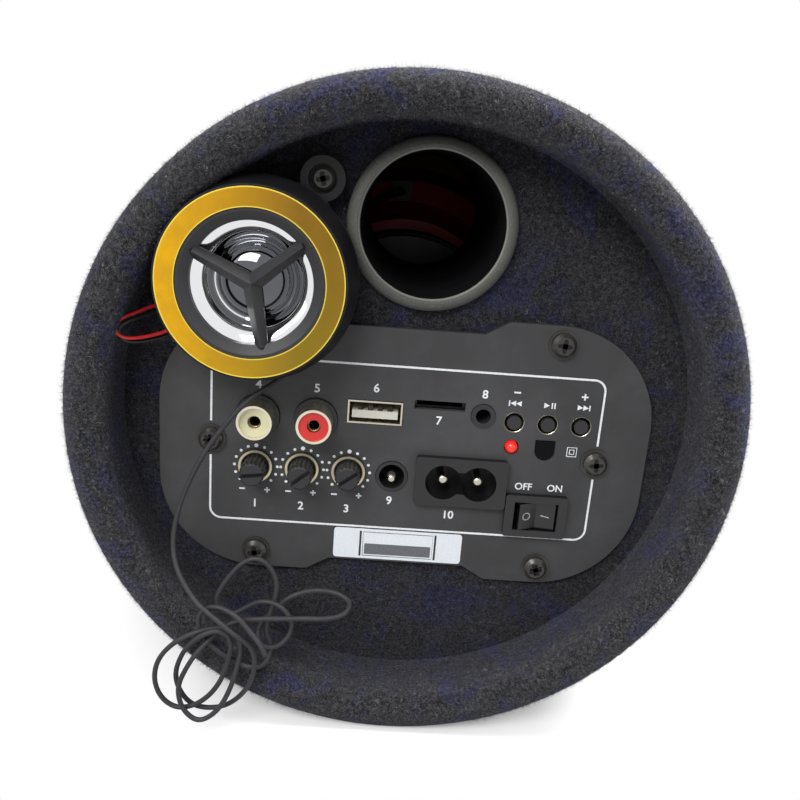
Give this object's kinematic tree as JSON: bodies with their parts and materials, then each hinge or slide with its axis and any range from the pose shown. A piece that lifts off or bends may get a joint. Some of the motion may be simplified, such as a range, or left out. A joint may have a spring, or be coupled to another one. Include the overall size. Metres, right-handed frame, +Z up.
{
  "type": "powered car subwoofer",
  "caption": "Felt-covered tube subwoofer with its own amplifier: rear recess with a round tweeter, a port and a control panel, a free antenna cord, and a domed grille over the woofer in front.",
  "frame": {"origin": "on the surface it stands on, under the middle of the felt-covered tube", "axes": "+Z up; +Y along the tube, from the control panel towards the woofer's grille; +X to the right of someone who faces the control panel"},
  "size_m": [0.1535, 0.2066, 0.1529],
  "materials": {
    "felt": "needle felt",
    "wood_board": "raw fibreboard",
    "paper_tube": "wound board",
    "panel_black": "matt powder coat",
    "black_plastic": "fine texture",
    "gloss_black": "gloss",
    "gold_ring": "gold anodised",
    "chrome": "mirror",
    "cream_plastic": "gloss",
    "red_plastic": "gloss",
    "nickel": "plated",
    "brass": "plain",
    "circuit_board": "solder mask",
    "black_screw": "black zinc",
    "aluminium": "extruded",
    "transformer": "lacquered laminations",
    "can_sleeve": "shrink sleeve",
    "red_paint": "gloss paint",
    "ferrite": "ceramic",
    "steel": "zinc plated",
    "paper_cone": "pressed paper",
    "rubber": "soft",
    "spider_cloth": "resin cloth",
    "coil": "lacquered winding",
    "grille_steel": "perforated, black",
    "cord_rubber": "satin",
    "lead_red": "satin",
    "lead_black": "satin",
    "lens_red": "diffused",
    "window_dark": "dark tinted"
  },
  "bodies": {
    "cabinet": {"barrel_tube": "paper_tube", "carpet_wrap": "felt", "rear_baffle": "wood_board", "baffle_felt": "felt", "front_baffle": "wood_board", "port_tube": "black_plastic", "amp_panel": "panel_black", "media_board": "circuit_board", "power_board": "circuit_board", "power_transformer": "transformer", "filter_capacitors": "can_sleeve", "heatsink": "aluminium", "phono_block": "black_plastic", "phono_sleeves": "nickel", "phono_insert_left": "cream_plastic", "phono_insert_right": "red_plastic", "usb_socket": "nickel", "usb_tongue": "cream_plastic", "card_socket": "nickel", "remote_jack": "black_plastic", "supply_socket": "black_plastic", "mains_inlet": "gloss_black", "mains_pins": "brass", "switch_housing": "gloss_black", "tact_switches": "black_plastic", "status_led": "lens_red", "remote_window": "window_dark", "pot_bodies": "brass", "panel_screws": "black_screw", "tweeter_housing": "black_plastic", "tweeter_trim_ring": "gold_ring", "tweeter_grille": "black_plastic", "tweeter_reflector": "chrome", "tweeter_magnet": "steel", "tweeter_screw": "black_screw", "tweeter_lead_red": "lead_red", "tweeter_lead_black": "lead_black", "antenna_cord": "cord_rubber", "antenna_hank": "cord_rubber", "woofer_basket": "red_paint", "woofer_magnet": "ferrite", "woofer_plates": "steel", "woofer_screws": "black_screw", "woofer_terminals": "black_plastic", "speaker_lead": "cord_rubber", "grille_mesh": "grille_steel", "grille_ring": "black_plastic"},
    "volume": {"volume_shaft": "black_plastic"},
    "treble": {"treble_shaft": "black_plastic"},
    "bass": {"bass_shaft": "black_plastic"},
    "rocker": {"switch_rocker": "gloss_black"},
    "previous_button": {"button_previous": "black_plastic"},
    "play_button": {"button_play": "black_plastic"},
    "next_button": {"button_next": "black_plastic"},
    "cone": {"woofer_cone": "paper_cone", "voice_coil": "coil", "woofer_dust_cap": "paper_cone", "woofer_surround": "rubber", "woofer_spider": "spider_cloth"},
    "dome": {"tweeter_dome": "chrome"}
  },
  "joints": [
    {"name": "volume_turn", "type": "hinge", "parent": "cabinet", "child": "volume", "pos_m": [-0.0357, -0.0837, 0.06145], "axis": [0, -1, 0], "range_deg": [-248, 52]},
    {"name": "treble_turn", "type": "hinge", "parent": "cabinet", "child": "treble", "pos_m": [-0.02445, -0.0837, 0.06145], "axis": [0, -1, 0], "range_deg": [-100, 200]},
    {"name": "bass_turn", "type": "hinge", "parent": "cabinet", "child": "bass", "pos_m": [-0.0132, -0.0837, 0.06145], "axis": [0, -1, 0], "range_deg": [-97, 203]},
    {"name": "power_rocker", "type": "hinge", "parent": "cabinet", "child": "rocker", "pos_m": [0.03345, -0.0827, 0.05305], "axis": [0, 0, 1], "range_deg": [0, 18]},
    {"name": "previous_press", "type": "slide", "parent": "cabinet", "child": "previous_button", "axis": [0, 1, 0], "range_m": [0, 0.0003], "stiffness_N_per_m": 500},
    {"name": "play_press", "type": "slide", "parent": "cabinet", "child": "play_button", "axis": [0, 1, 0], "range_m": [0, 0.0003], "stiffness_N_per_m": 500},
    {"name": "next_press", "type": "slide", "parent": "cabinet", "child": "next_button", "axis": [0, 1, 0], "range_m": [0, 0.0003], "stiffness_N_per_m": 500},
    {"name": "cone_stroke", "type": "slide", "parent": "cabinet", "child": "cone", "axis": [0, 1, 0], "range_m": [-0.0035, 0.0035], "stiffness_N_per_m": 1500, "deforming": ["woofer_surround", "woofer_spider"]},
    {"name": "dome_stroke", "type": "slide", "parent": "cabinet", "child": "dome", "axis": [0, 1, 0], "range_m": [-0.0002, 0.0002], "stiffness_N_per_m": 800}
  ]
}
